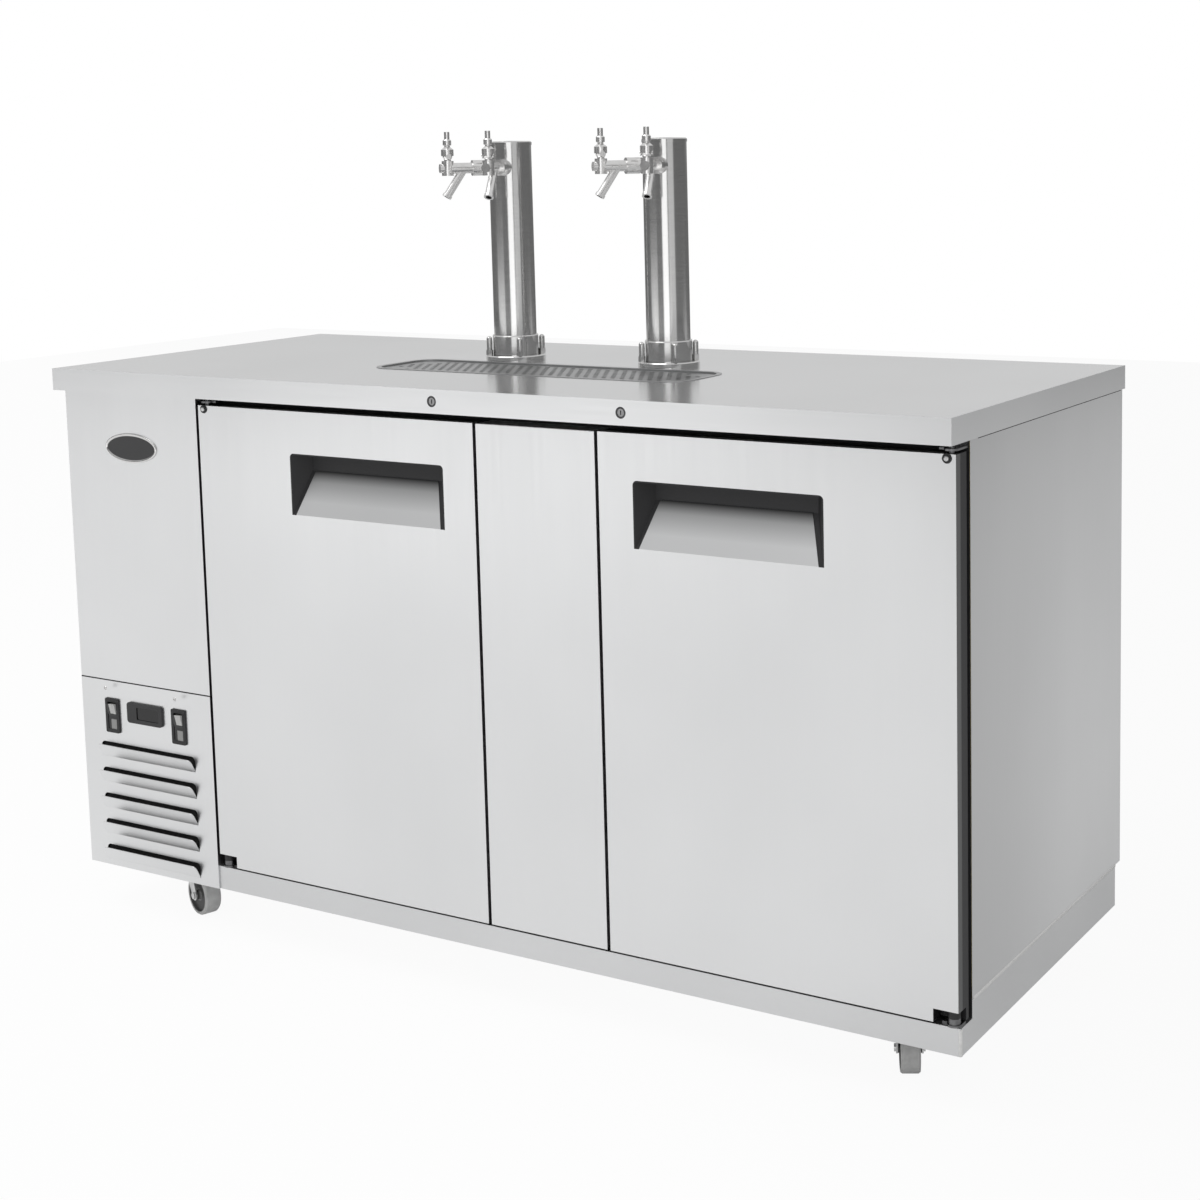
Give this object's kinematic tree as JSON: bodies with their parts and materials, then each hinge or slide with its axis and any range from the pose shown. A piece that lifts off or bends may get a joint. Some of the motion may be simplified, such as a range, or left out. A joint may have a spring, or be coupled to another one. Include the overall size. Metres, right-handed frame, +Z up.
{
  "type": "keg cooler",
  "caption": "Low stainless keg cooler with insulated hinged doors, a louvred machine compartment, column draught towers with lever taps, a recessed drip tray and swivel casters.",
  "frame": {"origin": "on the floor under the middle of the worktop", "axes": "+X to the right seen from the front, +Y from the doors to the back, +Z up"},
  "size_m": [1.76, 0.714, 1.419],
  "materials": {
    "stainless": "fine vertical grain",
    "base_steel": "satin",
    "foam": "rigid foam",
    "tray_steel": "pressed sheet",
    "polished_steel": "polished",
    "black_plastic": "fine matt",
    "seal_rubber": "matt",
    "zinc_steel": "zinc plated",
    "lock_chrome": "plated",
    "wheel_rubber": "matt",
    "black_enamel": "gloss",
    "fin_aluminium": "mill",
    "white_plastic": "moulded"
  },
  "bodies": {
    "cabinet": {"base_frame": "base_steel", "left_side_panel": "stainless", "right_side_panel": "stainless", "back_panel": "stainless", "face_frame": "stainless", "inner_liner": "stainless", "insulation": "foam", "centre_post": "stainless", "post_cover": "stainless", "worktop": "stainless", "upper_front_panel": "stainless", "louvre_panel": "stainless", "temperature_controller": "black_plastic", "switch_bezels": "black_plastic", "drip_tray": "tray_steel", "tower_flanges": "polished_steel", "flange_nuts": "polished_steel", "tower_columns": "polished_steel", "tower_caps": "polished_steel", "tap_shanks": "polished_steel", "coupling_nuts": "polished_steel", "tap_bodies": "polished_steel", "beer_tubes": "polished_steel", "hinge_brackets": "zinc_steel", "lock_barrels": "lock_chrome", "caster_plates": "zinc_steel", "compressor": "black_enamel", "condenser_coil": "fin_aluminium", "condenser_shroud": "black_plastic", "evaporator_cover": "white_plastic", "evaporator_coil": "fin_aluminium"},
    "left_door": {"left_door_skin": "stainless", "left_door_core": "black_plastic", "left_door_liner": "stainless", "left_door_seal": "seal_rubber", "left_handle_recess": "black_plastic"},
    "right_door": {"right_door_skin": "stainless", "right_door_core": "black_plastic", "right_door_liner": "stainless", "right_door_seal": "seal_rubber", "right_handle_recess": "black_plastic"},
    "drip_grid": {"drip_grid": "tray_steel"},
    "tap_lever_1": {"tap_lever_1": "polished_steel"},
    "tap_lever_2": {"tap_lever_2": "polished_steel"},
    "tap_lever_3": {"tap_lever_3": "polished_steel"},
    "tap_lever_4": {"tap_lever_4": "polished_steel"},
    "left_lock_plug": {"left_lock_plug": "lock_chrome"},
    "left_rocker": {"left_rocker": "black_plastic"},
    "right_lock_plug": {"right_lock_plug": "lock_chrome"},
    "right_rocker": {"right_rocker": "black_plastic"},
    "condenser_fan": {"condenser_fan": "black_plastic"},
    "evaporator_fan": {"evaporator_fan": "black_plastic"},
    "caster_fork_1": {"caster_fork_1": "zinc_steel"},
    "caster_wheel_1": {"caster_wheel_1": "wheel_rubber"},
    "caster_fork_2": {"caster_fork_2": "zinc_steel"},
    "caster_wheel_2": {"caster_wheel_2": "wheel_rubber"},
    "caster_fork_3": {"caster_fork_3": "zinc_steel"},
    "caster_wheel_3": {"caster_wheel_3": "wheel_rubber"},
    "caster_fork_4": {"caster_fork_4": "zinc_steel"},
    "caster_wheel_4": {"caster_wheel_4": "wheel_rubber"}
  },
  "joints": [
    {"name": "left_door_hinge", "type": "hinge", "parent": "cabinet", "child": "left_door", "pos_m": [-0.538, -0.32, 0.5], "axis": [0, 0, -1], "range_deg": [0, 105]},
    {"name": "right_door_hinge", "type": "hinge", "parent": "cabinet", "child": "right_door", "pos_m": [0.864, -0.32, 0.5], "axis": [0, 0, 1], "range_deg": [0, 105]},
    {"name": "grid_lift", "type": "slide", "parent": "cabinet", "child": "drip_grid", "axis": [0, 0, 1], "range_m": [0, 0.15]},
    {"name": "tap_lever_1_pull", "type": "hinge", "parent": "cabinet", "child": "tap_lever_1", "pos_m": [-0.24274, -0.00559, 1.376], "axis": [0.7771, -0.6293, 0], "range_deg": [0, 40]},
    {"name": "tap_lever_2_pull", "type": "hinge", "parent": "cabinet", "child": "tap_lever_2", "pos_m": [-0.13767, -0.02602, 1.376], "axis": [0.9563, 0.2924, 0], "range_deg": [0, 40]},
    {"name": "tap_lever_3_pull", "type": "hinge", "parent": "cabinet", "child": "tap_lever_3", "pos_m": [0.08326, -0.00559, 1.376], "axis": [0.7771, -0.6293, 0], "range_deg": [0, 40]},
    {"name": "tap_lever_4_pull", "type": "hinge", "parent": "cabinet", "child": "tap_lever_4", "pos_m": [0.18833, -0.02602, 1.376], "axis": [0.9563, 0.2924, 0], "range_deg": [0, 40]},
    {"name": "left_lock_turn", "type": "hinge", "parent": "cabinet", "child": "left_lock_plug", "pos_m": [-0.016, -0.35, 0.9905], "axis": [0, 1, 0], "range_deg": [0, 90]},
    {"name": "right_lock_turn", "type": "hinge", "parent": "cabinet", "child": "right_lock_plug", "pos_m": [0.342, -0.35, 0.9905], "axis": [0, 1, 0], "range_deg": [0, 90]},
    {"name": "left_rocker_tip", "type": "hinge", "parent": "cabinet", "child": "left_rocker", "pos_m": [-0.8, -0.328, 0.372], "axis": [-1, 0, 0], "range_deg": [0, 14]},
    {"name": "right_rocker_tip", "type": "hinge", "parent": "cabinet", "child": "right_rocker", "pos_m": [-0.634, -0.328, 0.372], "axis": [-1, 0, 0], "range_deg": [0, 14]},
    {"name": "condenser_fan_spin", "type": "hinge", "parent": "cabinet", "child": "condenser_fan", "pos_m": [-0.717, -0.212, 0.226], "axis": [0, 1, 0], "continuous": true},
    {"name": "evaporator_fan_spin", "type": "hinge", "parent": "cabinet", "child": "evaporator_fan", "pos_m": [-0.424, 0.113, 0.749], "axis": [1, 0, 0], "continuous": true},
    {"name": "caster_swivel_1", "type": "hinge", "parent": "cabinet", "child": "caster_fork_1", "pos_m": [-0.68, -0.26, 0.09], "axis": [0, 0, 1], "continuous": true},
    {"name": "caster_roll_1", "type": "hinge", "parent": "caster_fork_1", "child": "caster_wheel_1", "pos_m": [-0.6592, -0.26716, 0.0375], "axis": [0.3256, 0.9455, 0], "continuous": true},
    {"name": "caster_swivel_2", "type": "hinge", "parent": "cabinet", "child": "caster_fork_2", "pos_m": [0.766, -0.26, 0.09], "axis": [0, 0, 1], "continuous": true},
    {"name": "caster_roll_2", "type": "hinge", "parent": "caster_fork_2", "child": "caster_wheel_2", "pos_m": [0.75567, -0.24058, 0.0375], "axis": [-0.8829, -0.4695, 0], "continuous": true},
    {"name": "caster_swivel_3", "type": "hinge", "parent": "cabinet", "child": "caster_fork_3", "pos_m": [-0.68, 0.254, 0.09], "axis": [0, 0, 1], "continuous": true},
    {"name": "caster_roll_3", "type": "hinge", "parent": "caster_fork_3", "child": "caster_wheel_3", "pos_m": [-0.67248, 0.27467, 0.0375], "axis": [-0.9397, 0.342, 0], "continuous": true},
    {"name": "caster_swivel_4", "type": "hinge", "parent": "cabinet", "child": "caster_fork_4", "pos_m": [0.766, 0.254, 0.09], "axis": [0, 0, 1], "continuous": true},
    {"name": "caster_roll_4", "type": "hinge", "parent": "caster_fork_4", "child": "caster_wheel_4", "pos_m": [0.75848, 0.23333, 0.0375], "axis": [0.9397, -0.342, 0], "continuous": true}
  ]
}
